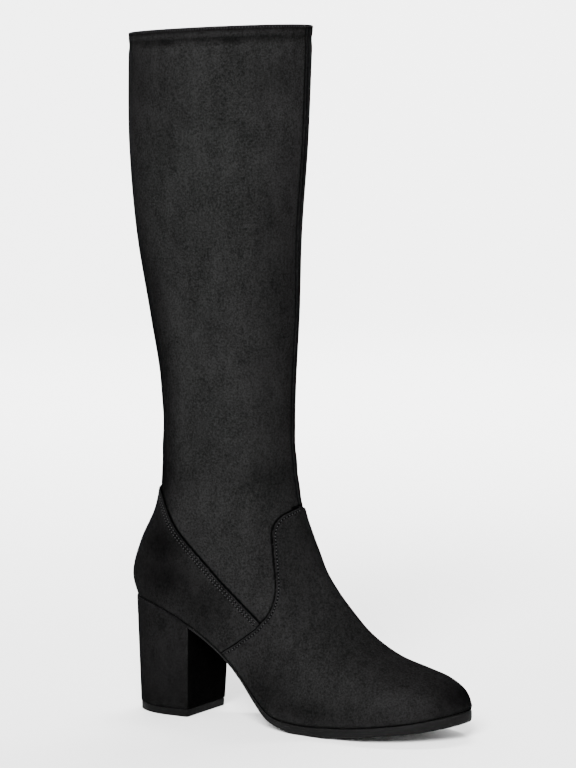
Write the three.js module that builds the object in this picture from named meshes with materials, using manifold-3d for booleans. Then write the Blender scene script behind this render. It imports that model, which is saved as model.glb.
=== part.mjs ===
// Knee-high boot for the right foot: a suede upper with a raised vamp and counter, a covered
// block heel with a rubber lift, a rubber outsole and an insole.
//
// Millimetres, +Z up. X runs from the back of the heel to the toe, -Y is the outer side of the
// foot and +Y its inner side. The whole group is then set with the middle of its bounding box
// over the origin and the ground at z = 0.

import * as THREE from "three";
import { mergeVertices } from "three/addons/utils/BufferGeometryUtils.js";
import Module from "manifold-3d";

// Driving dimensions.
const GAP = 0.3;
const SHAFT_WALL = 1.8;
const FOOT_WALL = 1.6;
const OVERLAY_WALL = 0.9;
const OVERLAY_STEP = OVERLAY_WALL + GAP;
const HEM_WALL = 2.6;
const HEM_DEPTH = 14;
const HEM_HOLLOW = 0.4;
const INSOLE_THICKNESS = 2.5;
const INSOLE_SIDE_GAP = 1.6;
const HEEL_HALF_WIDTH = 24;
const HEEL_BACK = 3.0;
const HEEL_BREAST = 50;
const HEEL_ROUND_FROM = 36;
const LIFT_THICKNESS = 5;
const LIFT_INSET = 0.3;
const SOLE_MARGIN_SHANK = 0.2;
const SOLE_MARGIN_TOE = 0.5;
const SOLE_CHAMFER = 1.2;
const TOE_TO_INNER_SIDE = 5;

// The last, as a fan of sections from the collar down the shaft, over the instep and out to the
// toe. Each section lies in the plane through its front and back points, parallel to Y. The
// back points of the foot's rows lie under the foot, where the feather line cuts the form away.
// Outer and inner are the half widths to either side of the ridge line.
const SECTIONS = [
  { frontX: 125.0, frontZ: 446.5, backX: -1.5, backZ: 442.0, outer: 44.5, inner: 44.5 },
  { frontX: 122.0, frontZ: 370.0, backX: -2.0, backZ: 367.0, outer: 41.0, inner: 41.0 },
  { frontX: 118.0, frontZ: 315.0, backX: 3.0, backZ: 313.0, outer: 38.0, inner: 38.0 },
  { frontX: 117.0, frontZ: 262.0, backX: 12.0, backZ: 261.0, outer: 32.5, inner: 32.5 },
  { frontX: 114.5, frontZ: 215.0, backX: 20.0, backZ: 216.0, outer: 30.5, inner: 30.5 },
  { frontX: 114.0, frontZ: 185.0, backX: 21.5, backZ: 184.0, outer: 30.0, inner: 30.0 },
  { frontX: 116.0, frontZ: 163.0, backX: 19.8, backZ: 158.0, outer: 30.5, inner: 30.5 },
  { frontX: 119.4, frontZ: 146.6, backX: 15.5, backZ: 135.5, outer: 31.0, inner: 31.0 },
  { frontX: 123.3, frontZ: 133.7, backX: 4.0, backZ: 111.5, outer: 32.5, inner: 32.0 },
  { frontX: 128.1, frontZ: 122.3, backX: -2.5, backZ: 88.5, outer: 32.0, inner: 31.5 },
  { frontX: 132.8, frontZ: 111.4, backX: 4.0, backZ: 68.5, outer: 32.5, inner: 31.0 },
  { frontX: 138.4, frontZ: 99.0, backX: 7.0, backZ: 45.0, outer: 29.8, inner: 29.2 },
  { frontX: 146.5, frontZ: 86.8, backX: 21.0, backZ: 24.0, outer: 27.8, inner: 27.8 },
  { frontX: 157.4, frontZ: 73.6, backX: 48.0, backZ: 2.0, outer: 29.2, inner: 27.8 },
  { frontX: 170.8, frontZ: 59.8, backX: 88.0, backZ: -22.0, outer: 36.8, inner: 31.2 },
  { frontX: 188.5, frontZ: 48.2, backX: 132.0, backZ: -32.0, outer: 42.6, inner: 34.4 },
  { frontX: 206.8, frontZ: 42.5, backX: 168.0, backZ: -28.0, outer: 43.5, inner: 32.0 },
  { frontX: 221.6, frontZ: 37.8, backX: 198.0, backZ: -18.0, outer: 35.2, inner: 26.0 },
  { frontX: 232.5, frontZ: 31.2, backX: 218.0, backZ: -6.0, outer: 24.4, inner: 17.6 },
  { frontX: 237.8, frontZ: 24.6, backX: 231.0, backZ: 5.0, outer: 15.0, inner: 8.9 },
  { frontX: 239.8, frontZ: 19.3, backX: 239.8, backZ: 19.3, outer: 0.0, inner: 0.0 },
];
const COLUMNS = ["frontX", "frontZ", "backX", "backZ", "outer", "inner"];

// Side profile of the feather line, where the upper meets the heel and the sole.
const FEATHER_LINE = [
  [-40, 79], [0, 76.2], [22, 73.6], [44, 66.4], [65, 53.8], [84, 38.8], [101, 21.6],
  [116, 9.8], [134, 6.6], [160, 7.2], [189, 9.9], [222, 14.4], [250, 21.4],
];

// Height of the collar's rim, which rises a little to the front.
function collarZ(x) {
  const top = SECTIONS[0];
  return top.backZ + ((top.frontZ - top.backZ) * (x - top.backX)) / (top.frontX - top.backX);
}

// Thickness of the sole under the feather line: a thin strip along the shank, full under the ball.
const SOLE_THICKNESS = [
  [40, 2.2], [86, 2.2], [96, 2.6], [104, 4.0], [112, 4.8], [120, 4.8], [128, 5.7], [136, 6.4],
  [165, 6.3], [190, 5.9], [222, 6.9], [250, 7.9],
];
const TREAD_FROM = 134;
const TREAD_TO = 158;

// Side view of the panels' edges. The vamp's runs from the front of the ankle down to the
// quarter's lowest point, the seam from there back to the sole, the counter's from the back.
const VAMP_EDGE = [
  [170, 150], [124.5, 141.2], [121.3, 139.5], [119.5, 137.9], [117.6, 136.6], [115.9, 135.3],
  [114, 133.2], [112.6, 130.8], [111.5, 127.2], [111.2, 123], [112.1, 116.2], [113.8, 107],
  [114.9, 97], [115, 88], [113.8, 80.4], [110.5, 72.4], [105, 66],
];
const SIDE_SEAM = [[105, 66], [101.9, 62.4], [95.2, 57.4], [87.5, 51.8], [78.3, 46], [66, 38]];
const COUNTER_EDGE = [
  [-30, 149], [14, 148.6], [22, 147.2], [27.6, 144.2], [31.5, 139.8], [43.2, 126.2],
  [53.5, 116], [63.1, 106.7], [72.6, 98], [83.6, 86.9], [94, 76.3], [105, 66],
];

const wasm = await Module();
wasm.setup();

// Smooth curve through a list of knots, with each tangent taken from the two neighbours.
function curveThrough(knots, values, at) {
  const last = knots.length - 1;
  let i = 0;
  while (i < last - 1 && at > knots[i + 1]) {
    i += 1;
  }
  const slope = (k) => (values[k + 1] - values[k]) / (knots[k + 1] - knots[k]);
  const tangent = (k) => {
    if (k === 0) return slope(0);
    if (k === last) return slope(last - 1);
    const before = knots[k] - knots[k - 1];
    const after = knots[k + 1] - knots[k];
    return (slope(k - 1) * after + slope(k) * before) / (before + after);
  };
  const span = knots[i + 1] - knots[i];
  const t = THREE.MathUtils.clamp((at - knots[i]) / span, 0, 1);
  const t2 = t * t;
  const t3 = t2 * t;
  const start = values[i] * (2 * t3 - 3 * t2 + 1) + span * tangent(i) * (t3 - 2 * t2 + t);
  return start + values[i + 1] * (3 * t2 - 2 * t3) + span * tangent(i + 1) * (t3 - t2);
}

function profileHeight(profile, x) {
  return curveThrough(profile.map((p) => p[0]), profile.map((p) => p[1]), x);
}

const featherZ = (x) => profileHeight(FEATHER_LINE, x);

// The sole's under side, flat on the ground where it treads.
function soleBottomZ(x) {
  const plain = featherZ(x) - profileHeight(SOLE_THICKNESS, x);
  if (x >= TREAD_FROM && x <= TREAD_TO) return 0;
  const away = x < TREAD_FROM ? TREAD_FROM - x : x - TREAD_TO;
  return Math.max(plain, 0) * THREE.MathUtils.smoothstep(away, 0, 8);
}

// The rows are spaced by how far they move. One more row past the toe turns the form over, so
// that the toe closes round.
const rowPlaces = [0];
const formRows = SECTIONS.map((row) => COLUMNS.map((name) => row[name]));
const beforeToe = formRows[formRows.length - 2];
formRows.push([beforeToe[2], beforeToe[3], beforeToe[0], beforeToe[1], -beforeToe[4], -beforeToe[5]]);
for (let i = 1; i < formRows.length; i += 1) {
  const moved = Math.hypot(...formRows[i].map((value, k) => value - formRows[i - 1][k]));
  rowPlaces.push(rowPlaces[i - 1] + moved);
}
const TOE_PLACE = rowPlaces[SECTIONS.length - 1];
const formColumns = COLUMNS.map((name, k) => formRows.map((row) => row[k]));

function sectionAt(place) {
  const [frontX, frontZ, backX, backZ, outer, inner] = formColumns.map((column) => {
    return curveThrough(rowPlaces, column, place);
  });
  const toToe = THREE.MathUtils.clamp((frontX - 130) / 110, 0, 1);
  const upShaft = THREE.MathUtils.clamp((frontZ - 160) / 100, 0, 1);
  const downFoot = THREE.MathUtils.clamp((135 - frontZ) / 40, 0, 1);
  return {
    frontX, frontZ, backX, backZ, outer, inner,
    ridge: TOE_TO_INNER_SIDE * toToe,
    belly: 0.46 + 0.04 * upShaft + 0.29 * toToe * toToe,
    frontPower: 2 + 0.25 * Math.sin(Math.PI * toToe),
    backPower: 2.1 + 0.2 * downFoot,
  };
}

// A point of the form. The angle is 0 at the front ridge and half a turn at the back, and it
// grows to the inner side.
function formPoint(place, angle) {
  const s = sectionAt(place);
  const length = Math.max(Math.hypot(s.frontX - s.backX, s.frontZ - s.backZ), 1e-6);
  const widest = s.belly * length;
  const c = Math.cos(angle);
  const w = Math.sin(angle);
  const power = c >= 0 ? s.frontPower : s.backPower;
  const reach = c >= 0 ? length - widest : widest;
  const along = (widest + Math.sign(c) * reach * Math.abs(c) ** (2 / power)) / length;
  const half = w < 0 ? s.outer : s.inner;
  return new THREE.Vector3(
    s.backX + (s.frontX - s.backX) * along,
    s.ridge + Math.sign(w) * half * Math.abs(w) ** (2 / power),
    s.backZ + (s.frontZ - s.backZ) * along,
  );
}

function formNormal(place, angle) {
  const step = 0.6;
  const turn = 0.03;
  const onward = formPoint(Math.min(place + step, TOE_PLACE - 0.2), angle);
  const back = formPoint(Math.max(place - step, 0), angle);
  const round = formPoint(place, angle + turn).sub(formPoint(place, angle - turn));
  return onward.sub(back).cross(round).normalize();
}

// How far under the overlays' height a point lies: 0 on the shaft, 1 from their top edges down,
// which are higher at the back than at the front.
function footShare(point, angle) {
  const edge = 145.8 - 3.8 * Math.cos(angle);
  return THREE.MathUtils.smoothstep(edge + 16 - point.z, 0, 16);
}

// How far the upper's outside lies inside the form: nothing on the shaft, the overlays'
// thickness on the foot, and a soft hollow under the collar's hem.
function upperInset(point, angle) {
  const belowCollar = collarZ(point.x) - point.z;
  const hollow = HEM_HOLLOW * Math.exp(-(((belowCollar - 9) / 3.5) ** 2));
  return OVERLAY_STEP * footShare(point, angle) + hollow;
}

function liningInset(point, angle) {
  const foot = footShare(point, angle);
  return OVERLAY_STEP * foot + SHAFT_WALL + (FOOT_WALL - SHAFT_WALL) * foot;
}

// Solid from rings of equal length, closed with a fan over each end.
function loft(rings) {
  const count = rings[0].length;
  const positions = [];
  const index = [];
  for (const ring of rings) {
    for (const p of ring) {
      positions.push(p.x, p.y, p.z);
    }
  }
  for (let r = 0; r < rings.length - 1; r += 1) {
    for (let i = 0; i < count; i += 1) {
      const a = r * count + i;
      const b = r * count + ((i + 1) % count);
      index.push(a, b, a + count, b, b + count, a + count);
    }
  }
  for (const end of [0, rings.length - 1]) {
    const middle = new THREE.Vector3();
    for (const p of rings[end]) {
      middle.addScaledVector(p, 1 / count);
    }
    const centre = positions.length / 3;
    positions.push(middle.x, middle.y, middle.z);
    for (let i = 0; i < count; i += 1) {
      const a = end * count + i;
      const b = end * count + ((i + 1) % count);
      if (end === 0) {
        index.push(centre, b, a);
      } else {
        index.push(centre, a, b);
      }
    }
  }
  const geometry = new THREE.BufferGeometry();
  geometry.setAttribute("position", new THREE.Float32BufferAttribute(positions, 3));
  geometry.setIndex(index);
  return toSolid(geometry);
}

function signedVolume(positions, index) {
  let total = 0;
  const a = new THREE.Vector3();
  const b = new THREE.Vector3();
  const c = new THREE.Vector3();
  for (let i = 0; i < index.length; i += 3) {
    a.fromArray(positions, 3 * index[i]);
    b.fromArray(positions, 3 * index[i + 1]);
    c.fromArray(positions, 3 * index[i + 2]);
    total += a.dot(b.cross(c)) / 6;
  }
  return total;
}

function toSolid(geometry) {
  const bare = geometry.clone();
  bare.deleteAttribute("normal");
  bare.deleteAttribute("uv");
  const merged = mergeVertices(bare, 1e-5);
  const vertProperties = new Float32Array(merged.attributes.position.array);
  const triVerts = new Uint32Array(merged.index.array);
  if (signedVolume(vertProperties, triVerts) < 0) {
    for (let i = 0; i < triVerts.length; i += 3) {
      const kept = triVerts[i];
      triVerts[i] = triVerts[i + 1];
      triVerts[i + 1] = kept;
    }
  }
  return new wasm.Manifold(new wasm.Mesh({ numProp: 3, vertProperties, triVerts }));
}

function toMesh(name, solid, material) {
  const made = solid.getMesh();
  const geometry = new THREE.BufferGeometry();
  geometry.setAttribute("position", new THREE.BufferAttribute(Float32Array.from(made.vertProperties), 3));
  geometry.setIndex(new THREE.BufferAttribute(Uint32Array.from(made.triVerts), 1));
  geometry.computeVertexNormals();
  const mesh = new THREE.Mesh(geometry, material);
  mesh.name = name;
  return mesh;
}

// Places along the form: evenly between the rows, closer together where the toe turns over.
function placesAlong(shaftCuts, footCuts, toeParts) {
  const places = [];
  for (let i = 0; i < SECTIONS.length - 1; i += 1) {
    const cuts = SECTIONS[i].frontZ > 170 ? shaftCuts : footCuts;
    for (let k = 0; k < cuts; k += 1) {
      const t = k / cuts;
      places.push(rowPlaces[i] + (rowPlaces[i + 1] - rowPlaces[i]) * t);
    }
  }
  const rest = TOE_PLACE - rowPlaces[SECTIONS.length - 2];
  for (const part of toeParts) {
    places.push(TOE_PLACE - rest * part);
  }
  return [...new Set(places)].sort((p, q) => p - q);
}

// The form drawn in by an inset that may change along it. A lifted form rises past the collar,
// to cut it open.
function formSolid(inset, places, around, lift) {
  const rings = places.map((place) => {
    const ring = [];
    for (let i = 0; i < around; i += 1) {
      const angle = (2 * Math.PI * i) / around;
      const point = formPoint(place, angle);
      const depth = inset(point, angle);
      ring.push(point.addScaledVector(formNormal(place, angle), -depth));
    }
    return ring;
  });
  if (lift > 0) {
    rings.unshift(rings[0].map((p) => new THREE.Vector3(p.x, p.y, p.z + lift)));
  }
  return loft(rings);
}

// Solid with a side view outline, as wide as the whole boot.
function sideSolid(points) {
  const shape = new THREE.Shape(points.map(([x, z]) => new THREE.Vector2(x, z)));
  const geometry = new THREE.ExtrudeGeometry(shape, { depth: 140, bevelEnabled: false });
  geometry.rotateX(Math.PI / 2);
  geometry.translate(0, 70, 0);
  return toSolid(geometry);
}

function smoothLine(points, count) {
  const curve = new THREE.SplineCurve(points.map(([x, z]) => new THREE.Vector2(x, z)));
  return curve.getPoints(count).map((p) => [p.x, p.y]);
}

function featherPoints(rise) {
  const points = [];
  for (let x = -20; x <= 248; x += x > 84 && x < 132 ? 4 : 8) {
    points.push([x, featherZ(x) + rise]);
  }
  return points;
}

const aboveFeather = (rise) => sideSolid([...featherPoints(rise), [248, 500], [-20, 500]]);
const belowFeather = (rise) => sideSolid([...featherPoints(rise), [248, -60], [-20, -60]]);

// Where the feather line meets one section, on either side of the foot.
function featherPoint(place, side) {
  let high = Math.PI / 2;
  let low = Math.PI;
  const over = (angle) => {
    const p = formPoint(place, angle * side);
    return p.z - featherZ(p.x);
  };
  if (over(high) < 0) {
    high = 0;
  }
  for (let i = 0; i < 40; i += 1) {
    const middle = (high + low) / 2;
    if (over(middle) > 0) {
      high = middle;
    } else {
      low = middle;
    }
  }
  return formPoint(place, high * side);
}

// First and last place whose section reaches below the feather line.
function featherEnds() {
  const places = [];
  for (let i = 0; i <= 4000; i += 1) {
    const s = sectionAt((TOE_PLACE * i) / 4000);
    if (s.backZ < featherZ(s.backX)) {
      places.push((TOE_PLACE * i) / 4000);
    }
  }
  return [places[0], places[places.length - 1]];
}

// Stations along the feather line, from the back of the heel to the toe, closer at both ends.
function featherStations(count) {
  const [heelPlace, toePlace] = featherEnds();
  const stations = [];
  for (let i = 0; i <= count; i += 1) {
    const u = 0.03 + (0.962 * i) / count;
    const t = 0.5 * u + 0.25 * (1 - Math.cos(Math.PI * u));
    const place = heelPlace + (toePlace - heelPlace) * t;
    stations.push({ outer: featherPoint(place, -1), inner: featherPoint(place, 1) });
  }
  return stations;
}

// A station's point moved outward in plan, square to the feather line.
function movedOut(stations, i, side, out) {
  const p = stations[i][side];
  const before = stations[Math.max(i - 1, 0)][side];
  const after = stations[Math.min(i + 1, stations.length - 1)][side];
  const turn = side === "outer" ? 1 : -1;
  const normal = new THREE.Vector2((after.y - before.y) * turn, (before.x - after.x) * turn).normalize();
  return new THREE.Vector2(p.x + normal.x * out, p.y + normal.y * out);
}

// The last ring of the outsole, a narrow upright face at the very toe.
function soleTip(station) {
  const y = (station.outer.y + station.inner.y) / 2;
  const x = (station.outer.x + station.inner.x) / 2 + SOLE_MARGIN_TOE;
  const at = (side, inset, z) => new THREE.Vector3(x - inset, y + side * (inset + 1), z);
  const low = soleBottomZ(x);
  return [
    at(-1, 0, featherZ(x) + 3),
    at(-1, 0, low + SOLE_CHAMFER),
    at(-1, SOLE_CHAMFER, low),
    at(1, SOLE_CHAMFER, low),
    at(1, 0, low + SOLE_CHAMFER),
    at(1, 0, featherZ(x) + 3),
  ];
}

// The outsole: upright sides and a chamfer to the tread across each station, cut off along the
// feather line on top and behind the heel's breast.
function makeOutsole() {
  const stations = featherStations(40);
  const rings = [];
  for (let i = 0; i < stations.length; i += 1) {
    const onward = stations[Math.min(i + 1, stations.length - 1)].outer;
    if (onward.x > HEEL_BREAST) {
      const toToe = THREE.MathUtils.smoothstep(stations[i].outer.x, 95, 235);
      const margin = SOLE_MARGIN_SHANK + (SOLE_MARGIN_TOE - SOLE_MARGIN_SHANK) * toToe;
      const ring = [];
      const put = (side, out, height) => {
        const q = movedOut(stations, i, side, out);
        ring.push(new THREE.Vector3(q.x, q.y, height(q.x)));
      };
      const over = (x) => featherZ(x) + 3;
      const half = (x) => 0.5 * (featherZ(x) - soleBottomZ(x));
      const edge = (x) => soleBottomZ(x) + Math.min(SOLE_CHAMFER, half(x));
      put("outer", margin, over);
      put("outer", margin, edge);
      put("outer", margin - SOLE_CHAMFER, soleBottomZ);
      put("inner", margin - SOLE_CHAMFER, soleBottomZ);
      put("inner", margin, edge);
      put("inner", margin, over);
      rings.push(ring);
    }
  }
  rings.push(soleTip(stations[stations.length - 1]));
  const breast = HEEL_BREAST + GAP;
  const behind = sideSolid([[-20, -30], [breast, -30], [breast + 4, 100], [-20, 100]]);
  return loft(rings).subtract(behind).intersect(belowFeather(-GAP));
}

// The insole: the feather line's outline drawn in past the upper's wall.
function makeInsole() {
  const stations = featherStations(30);
  const inset = -(OVERLAY_STEP + FOOT_WALL + INSOLE_SIDE_GAP);
  const rings = stations.map((station, i) => {
    const outer = movedOut(stations, i, "outer", inset);
    const inner = movedOut(stations, i, "inner", inset);
    return [
      new THREE.Vector3(outer.x, outer.y, featherZ(outer.x) + 8),
      new THREE.Vector3(outer.x, outer.y, featherZ(outer.x) - 5),
      new THREE.Vector3(inner.x, inner.y, featherZ(inner.x) - 5),
      new THREE.Vector3(inner.x, inner.y, featherZ(inner.x) + 8),
    ];
  });
  const band = sideSolid([...featherPoints(0), ...featherPoints(INSOLE_THICKNESS).reverse()]);
  return loft(rings).intersect(band);
}

// The heel's plan: straight sides from the breast, round at the back, tapering as it goes down.
function heelRing(z, inset) {
  const half = HEEL_HALF_WIDTH + 0.045 * z - inset;
  const breast = HEEL_BREAST + 0.033 * z - inset;
  const back = HEEL_BACK - 0.037 * z + inset;
  const round = HEEL_ROUND_FROM - back;
  const ring = [];
  const corner = 1;
  ring.push(new THREE.Vector3(breast, half - corner, z));
  ring.push(new THREE.Vector3(breast - 0.3 * corner, half - 0.3 * corner, z));
  ring.push(new THREE.Vector3(breast - corner, half, z));
  for (let i = 0; i <= 24; i += 1) {
    const angle = Math.PI / 2 + (Math.PI * i) / 24;
    ring.push(new THREE.Vector3(HEEL_ROUND_FROM + round * Math.cos(angle), half * Math.sin(angle), z));
  }
  ring.push(new THREE.Vector3(breast - corner, -half, z));
  ring.push(new THREE.Vector3(breast - 0.3 * corner, -half + 0.3 * corner, z));
  ring.push(new THREE.Vector3(breast, -half + corner, z));
  return ring;
}

const places = placesAlong(2, 2, [0.35, 0.12, 0.03]);
const OUTER_AROUND = 36;
const LINING_AROUND = 26;
const form = formSolid(() => 0, places, OUTER_AROUND, 0);
const overlayInside = formSolid(() => OVERLAY_WALL, places, OUTER_AROUND, 0);
const upperOutside = formSolid(upperInset, places, OUTER_AROUND, 0);
const liningPlaces = placesAlong(2, 2, [0.4]);
const lining = formSolid(liningInset, liningPlaces, LINING_AROUND, 10);

// Above the hem's fold the turned edge is thicker.
function aboveHem(drop) {
  const line = (x) => collarZ(x) - HEM_DEPTH - drop;
  return sideSolid([[-30, line(-30)], [160, line(160)], [160, 500], [-30, 500]]);
}
const hemHollow = formSolid(() => HEM_WALL, placesAlong(2, 1, [0.4]), LINING_AROUND, 10);
const hollow = lining.subtract(aboveHem(0)).add(hemHollow.intersect(aboveHem(1)));

const upper = upperOutside.subtract(hollow).intersect(aboveFeather(0));

const shell = form.subtract(overlayInside).intersect(aboveFeather(0));
const seamLine = smoothLine(SIDE_SEAM, 12);
const vampOutline = [...smoothLine(VAMP_EDGE, 40), ...seamLine.slice(1), [66, -60], [270, -60], [270, 143]];
const vamp = shell.intersect(sideSolid(vampOutline));
const apart = seamLine.map(([x, z]) => [x - 0.6 * GAP, z + 0.8 * GAP]);
const counterOutline = [...smoothLine(COUNTER_EDGE, 36).slice(0, -1), ...apart, [66, -60], [-30, -60]];
const counter = shell.intersect(sideSolid(counterOutline));

const insole = makeInsole();
const outsole = makeOutsole();
const heelBlock = loft([heelRing(LIFT_THICKNESS + GAP, 0), heelRing(84, 0)]);
const heel = heelBlock.intersect(belowFeather(-GAP));
const heelLift = loft([heelRing(0, LIFT_INSET), heelRing(LIFT_THICKNESS, LIFT_INSET)]);

const suede = new THREE.MeshStandardMaterial({ color: "#29282a", roughness: 0.95, metalness: 0 });
const coverSuede = new THREE.MeshStandardMaterial({ color: "#2a292b", roughness: 0.95, metalness: 0 });
const rubber = new THREE.MeshStandardMaterial({ color: "#2f3032", roughness: 0.6, metalness: 0 });
const liftRubber = new THREE.MeshStandardMaterial({ color: "#3b3c3e", roughness: 0.65, metalness: 0 });
const sock = new THREE.MeshStandardMaterial({ color: "#1d1c1d", roughness: 0.8, metalness: 0 });

const boot = new THREE.Group();
boot.add(toMesh("upper", upper, suede));
boot.add(toMesh("vamp", vamp, suede));
boot.add(toMesh("counter", counter, suede));
boot.add(toMesh("insole", insole, sock));
boot.add(toMesh("outsole", outsole, rubber));
boot.add(toMesh("heel", heel, coverSuede));
boot.add(toMesh("heel_lift", heelLift, liftRubber));

const box = new THREE.Box3().setFromObject(boot);
boot.position.set(-(box.min.x + box.max.x) / 2, -(box.min.y + box.max.y) / 2, -box.min.z);

export default boot;
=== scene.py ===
"""Dress of a knee-high block-heel boot for the right foot, in black brushed faux suede.

The boot's form is the same fan of sections as in the part's source, in millimetres from the back
of the heel, with X to the toe and -Y the outer side. Each piece is a grid that is bent round that
form, cut along its edge and given its wall.
"""
import math

import bmesh
import bpy
import numpy as np
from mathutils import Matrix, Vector

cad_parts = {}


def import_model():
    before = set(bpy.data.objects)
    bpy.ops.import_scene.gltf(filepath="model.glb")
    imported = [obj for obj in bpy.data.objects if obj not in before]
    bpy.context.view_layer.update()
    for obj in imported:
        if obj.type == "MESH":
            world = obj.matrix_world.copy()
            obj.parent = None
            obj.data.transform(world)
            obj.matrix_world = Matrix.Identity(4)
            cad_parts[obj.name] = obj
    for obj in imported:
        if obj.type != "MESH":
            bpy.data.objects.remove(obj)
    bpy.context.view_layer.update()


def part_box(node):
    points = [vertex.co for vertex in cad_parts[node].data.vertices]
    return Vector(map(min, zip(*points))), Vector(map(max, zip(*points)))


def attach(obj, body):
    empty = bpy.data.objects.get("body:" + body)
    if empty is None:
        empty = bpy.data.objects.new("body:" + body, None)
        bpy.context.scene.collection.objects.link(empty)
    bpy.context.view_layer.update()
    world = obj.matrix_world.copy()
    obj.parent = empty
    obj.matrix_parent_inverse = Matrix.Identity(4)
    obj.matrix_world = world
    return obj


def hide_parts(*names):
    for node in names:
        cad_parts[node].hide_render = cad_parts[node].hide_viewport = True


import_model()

# Sizes that the part's source also has, in millimetres.
GAP = 0.3
SHAFT_WALL = 1.8
FOOT_WALL = 1.6
OVERLAY_WALL = 0.9
OVERLAY_STEP = OVERLAY_WALL + GAP
HEM_WALL = 2.6
HEM_DEPTH = 14
INSOLE_THICKNESS = 2.5
INSOLE_SIDE_GAP = 1.6
HEEL_HALF_WIDTH = 24
HEEL_BACK = 3.0
HEEL_BREAST = 50
HEEL_ROUND_FROM = 36
HEEL_CORNER = 1.4
HEEL_TOP = 72
LIFT_THICKNESS = 5
LIFT_INSET = 0.3
SOLE_MARGIN_SHANK = 0.2
SOLE_MARGIN_GROWTH = 0.3
TOE_TO_INNER_SIDE = 5
TREAD_FROM = 134
TREAD_TO = 158
TREAD_EASE = 8
# How much the heel widens, its breast moves forward and its back moves back, for each mm of height.
HEEL_SIDE_FLARE = 0.045
HEEL_BREAST_LEAN = 0.033
HEEL_BACK_LEAN = 0.037

# Columns: front x, front z, back x, back z, outer half width, inner half width.
SECTIONS = np.array([
    (125.0, 446.5, -1.5, 442.0, 44.5, 44.5),
    (122.0, 370.0, -2.0, 367.0, 41.0, 41.0),
    (118.0, 315.0, 3.0, 313.0, 38.0, 38.0),
    (117.0, 262.0, 12.0, 261.0, 32.5, 32.5),
    (114.5, 215.0, 20.0, 216.0, 30.5, 30.5),
    (114.0, 185.0, 21.5, 184.0, 30.0, 30.0),
    (116.0, 163.0, 19.8, 158.0, 30.5, 30.5),
    (119.4, 146.6, 15.5, 135.5, 31.0, 31.0),
    (123.3, 133.7, 4.0, 111.5, 32.5, 32.0),
    (128.1, 122.3, -2.5, 88.5, 32.0, 31.5),
    (132.8, 111.4, 4.0, 68.5, 32.5, 31.0),
    (138.4, 99.0, 7.0, 45.0, 29.8, 29.2),
    (146.5, 86.8, 21.0, 24.0, 27.8, 27.8),
    (157.4, 73.6, 48.0, 2.0, 29.2, 27.8),
    (170.8, 59.8, 88.0, -22.0, 36.8, 31.2),
    (188.5, 48.2, 132.0, -32.0, 42.6, 34.4),
    (206.8, 42.5, 168.0, -28.0, 43.5, 32.0),
    (221.6, 37.8, 198.0, -18.0, 35.2, 26.0),
    (232.5, 31.2, 218.0, -6.0, 24.4, 17.6),
    (237.8, 24.6, 231.0, 5.0, 15.0, 8.9),
    (239.8, 19.3, 239.8, 19.3, 0.0, 0.0),
])

# Side view lines, each point as x and z.
FEATHER_LINE = np.array([
    (-40, 79), (0, 76.2), (22, 73.6), (44, 66.4), (65, 53.8), (84, 38.8), (101, 21.6),
    (116, 9.8), (134, 6.6), (160, 7.2), (189, 9.9), (222, 14.4), (250, 21.4),
])
SOLE_THICKNESS = np.array([
    (40, 2.2), (86, 2.2), (96, 2.6), (104, 4.0), (112, 4.8), (120, 4.8), (128, 5.7), (136, 6.4),
    (165, 6.3), (190, 5.9), (222, 6.9), (250, 7.9),
])
VAMP_EDGE = [
    (170, 150), (124.5, 141.2), (121.3, 139.5), (119.5, 137.9), (117.6, 136.6), (115.9, 135.3),
    (114, 133.2), (112.6, 130.8), (111.5, 127.2), (111.2, 123), (112.1, 116.2), (113.8, 107),
    (114.9, 97), (115, 88), (113.8, 80.4), (110.5, 72.4), (105, 66),
]
SIDE_SEAM = [(105, 66), (101.9, 62.4), (95.2, 57.4), (87.5, 51.8), (78.3, 46), (66, 38)]
COUNTER_EDGE = [
    (-30, 149), (14, 148.6), (22, 147.2), (27.6, 144.2), (31.5, 139.8), (43.2, 126.2),
    (53.5, 116), (63.1, 106.7), (72.6, 98), (83.6, 86.9), (94, 76.3), (105, 66),
]

# The heel's lift shows where the boot stands in the frame.
LIFT_FRONT = HEEL_BREAST + HEEL_BREAST_LEAN * LIFT_THICKNESS - LIFT_INSET
SHIFT = LIFT_FRONT - 1000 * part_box("heel_lift")[1][0]


def smoothstep(value, low, high):
    t = np.clip((np.asarray(value, float) - low) / (high - low), 0, 1)
    return t * t * (3 - 2 * t)


def bell(value, width):
    """1 where the value is 0, falling away smoothly to both sides."""
    return np.exp(-((value / width) ** 2))


def curve_through(knots, values, at):
    """Smooth curve through a list of knots, with each tangent taken from the two neighbours."""
    knots, values, at = np.asarray(knots, float), np.asarray(values, float), np.asarray(at, float)
    wide = (-1,) + (1,) * (values.ndim - 1)
    step = np.diff(knots)
    slope = np.diff(values, axis=0) / step.reshape(wide)
    before, after = step[:-1].reshape(wide), step[1:].reshape(wide)
    within = (slope[:-1] * after + slope[1:] * before) / (before + after)
    tangent = np.concatenate([slope[:1], within, slope[-1:]])
    i = np.clip(np.searchsorted(knots, at, side="left") - 1, 0, len(knots) - 2)
    span = step[i]
    t = np.clip((at - knots[i]) / span, 0, 1)
    if values.ndim > 1:
        t, span = t[..., None], span[..., None]
    start = values[i] * (2 * t**3 - 3 * t**2 + 1) + span * tangent[i] * (t**3 - 2 * t**2 + t)
    return start + values[i + 1] * (3 * t**2 - 2 * t**3) + span * tangent[i + 1] * (t**3 - t**2)


def feather_z(x):
    return curve_through(FEATHER_LINE[:, 0], FEATHER_LINE[:, 1], x)


def sole_bottom_z(x):
    """The sole's under side, flat on the ground where it treads."""
    x = np.asarray(x, float)
    plain = feather_z(x) - curve_through(SOLE_THICKNESS[:, 0], SOLE_THICKNESS[:, 1], x)
    away = np.maximum(TREAD_FROM - x, x - TREAD_TO)
    return np.maximum(plain, 0) * smoothstep(away, 0, TREAD_EASE)


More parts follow.
